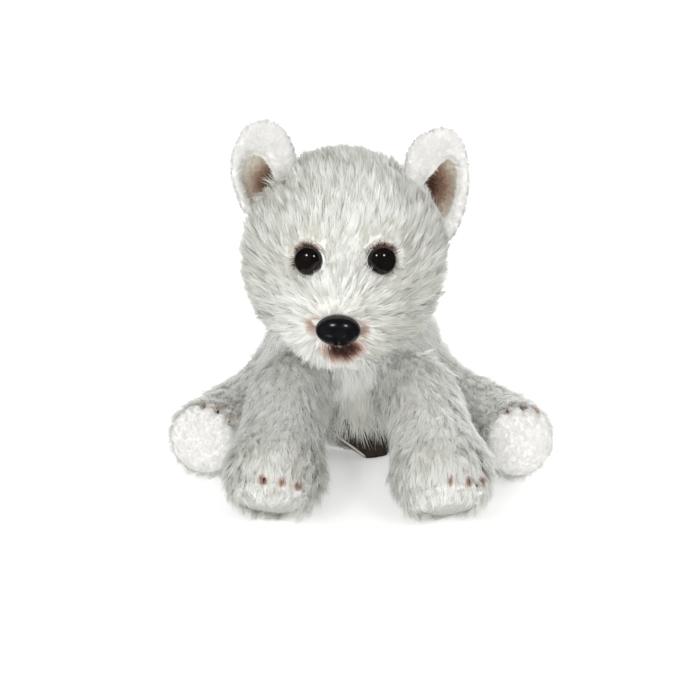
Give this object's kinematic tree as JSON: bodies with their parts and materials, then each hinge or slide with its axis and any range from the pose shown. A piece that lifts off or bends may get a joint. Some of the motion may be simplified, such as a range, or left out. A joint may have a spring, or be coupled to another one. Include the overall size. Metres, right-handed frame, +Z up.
{
  "type": "plush dog",
  "caption": "Small sitting plush terrier puppy in white long pile, with button eyes and nose, velour ears and soles, and a pellet-filled seat.",
  "frame": {"origin": "on the floor, under the middle of the sitting dog's bounding box", "axes": "+Z up; the dog faces -Y; its own left side is +X"},
  "size_m": [0.1706, 0.175, 0.1619],
  "materials": {
    "white_long_pile": "long silky pile, brushed, clumped",
    "white_velour": "short dense velour",
    "belly_plush": "short pile, dark taupe",
    "ear_lining_velour": "short velour with brown airbrush",
    "fibrefill": "loose polyester filling",
    "plastic_pellets": "small smooth pellets",
    "pouch_cloth": "plain nonwoven cloth",
    "eye_gloss": "polished",
    "nose_gloss": "polished, two shallow nostrils",
    "lock_washer": "plain",
    "brown_thread": "embroidery thread",
    "label_satin": "blank woven satin"
  },
  "bodies": {
    "torso": {"torso_cover": "white_long_pile", "belly_panel": "belly_plush", "torso_stuffing": "fibrefill", "pellet_pouch": "pouch_cloth", "pellet_fill": "plastic_pellets", "care_label": "label_satin"},
    "head": {"head_cover": "white_long_pile", "head_stuffing": "fibrefill", "eye_right": "eye_gloss", "eye_right_washer": "lock_washer", "eye_left": "eye_gloss", "eye_left_washer": "lock_washer", "nose": "nose_gloss", "nose_washer": "lock_washer", "mouth_stitch": "brown_thread"},
    "right_ear": {"ear_right_back": "white_velour", "ear_right_lining": "ear_lining_velour"},
    "left_ear": {"ear_left_back": "white_velour", "ear_left_lining": "ear_lining_velour"},
    "front_right_leg": {"front_right_leg_cover": "white_long_pile", "front_right_leg_stuffing": "fibrefill", "front_right_paw_pad": "white_velour", "front_right_toe_stitch_inner": "brown_thread", "front_right_toe_stitch_middle": "brown_thread", "front_right_toe_stitch_outer": "brown_thread"},
    "front_left_leg": {"front_left_leg_cover": "white_long_pile", "front_left_leg_stuffing": "fibrefill", "front_left_paw_pad": "white_velour", "front_left_toe_stitch_inner": "brown_thread", "front_left_toe_stitch_middle": "brown_thread", "front_left_toe_stitch_outer": "brown_thread"},
    "hind_right_leg": {"hind_right_leg_cover": "white_long_pile", "hind_right_leg_stuffing": "fibrefill", "hind_right_paw_pad": "white_velour", "hind_right_toe_stitch_inner": "brown_thread", "hind_right_toe_stitch_middle": "brown_thread", "hind_right_toe_stitch_outer": "brown_thread"},
    "hind_left_leg": {"hind_left_leg_cover": "white_long_pile", "hind_left_leg_stuffing": "fibrefill", "hind_left_paw_pad": "white_velour", "hind_left_toe_stitch_inner": "brown_thread", "hind_left_toe_stitch_middle": "brown_thread", "hind_left_toe_stitch_outer": "brown_thread"},
    "tail": {"tail_cover": "white_long_pile", "tail_stuffing": "fibrefill"}
  },
  "joints": [
    {"name": "head_turn", "type": "hinge", "parent": "torso", "child": "head", "pos_m": [-0.0064, -0.00734, 0.07], "axis": [0, 0, 1], "range_deg": [-25, 25], "stiffness_Nm_per_rad": 0.06},
    {"name": "right_ear_fold", "type": "hinge", "parent": "head", "child": "right_ear", "pos_m": [-0.0384, -0.01934, 0.13], "axis": [0.9135, 0, 0.4067], "range_deg": [-15, 15], "stiffness_Nm_per_rad": 0.004},
    {"name": "left_ear_fold", "type": "hinge", "parent": "head", "child": "left_ear", "pos_m": [0.0286, -0.01934, 0.1275], "axis": [0.829, 0, -0.5592], "range_deg": [-15, 15], "stiffness_Nm_per_rad": 0.004},
    {"name": "front_right_leg_swing", "type": "hinge", "parent": "torso", "child": "front_right_leg", "pos_m": [-0.0314, -0.01534, 0.039], "axis": [-1, 0, 0], "range_deg": [-6, 20], "stiffness_Nm_per_rad": 0.09},
    {"name": "front_left_leg_swing", "type": "hinge", "parent": "torso", "child": "front_left_leg", "pos_m": [0.0256, -0.01734, 0.039], "axis": [-1, 0, 0], "range_deg": [-6, 20], "stiffness_Nm_per_rad": 0.09},
    {"name": "hind_right_leg_splay", "type": "hinge", "parent": "torso", "child": "hind_right_leg", "pos_m": [-0.0424, 0.03066, 0.0215], "axis": [0, 0, -1], "range_deg": [0, 20], "stiffness_Nm_per_rad": 0.09},
    {"name": "hind_left_leg_splay", "type": "hinge", "parent": "torso", "child": "hind_left_leg", "pos_m": [0.0376, 0.03066, 0.0215], "axis": [0, 0, 1], "range_deg": [0, 20], "stiffness_Nm_per_rad": 0.09},
    {"name": "tail_wag", "type": "hinge", "parent": "torso", "child": "tail", "pos_m": [-0.0034, 0.06766, 0.034], "axis": [0, 0, 1], "range_deg": [-30, 30], "stiffness_Nm_per_rad": 0.004}
  ]
}
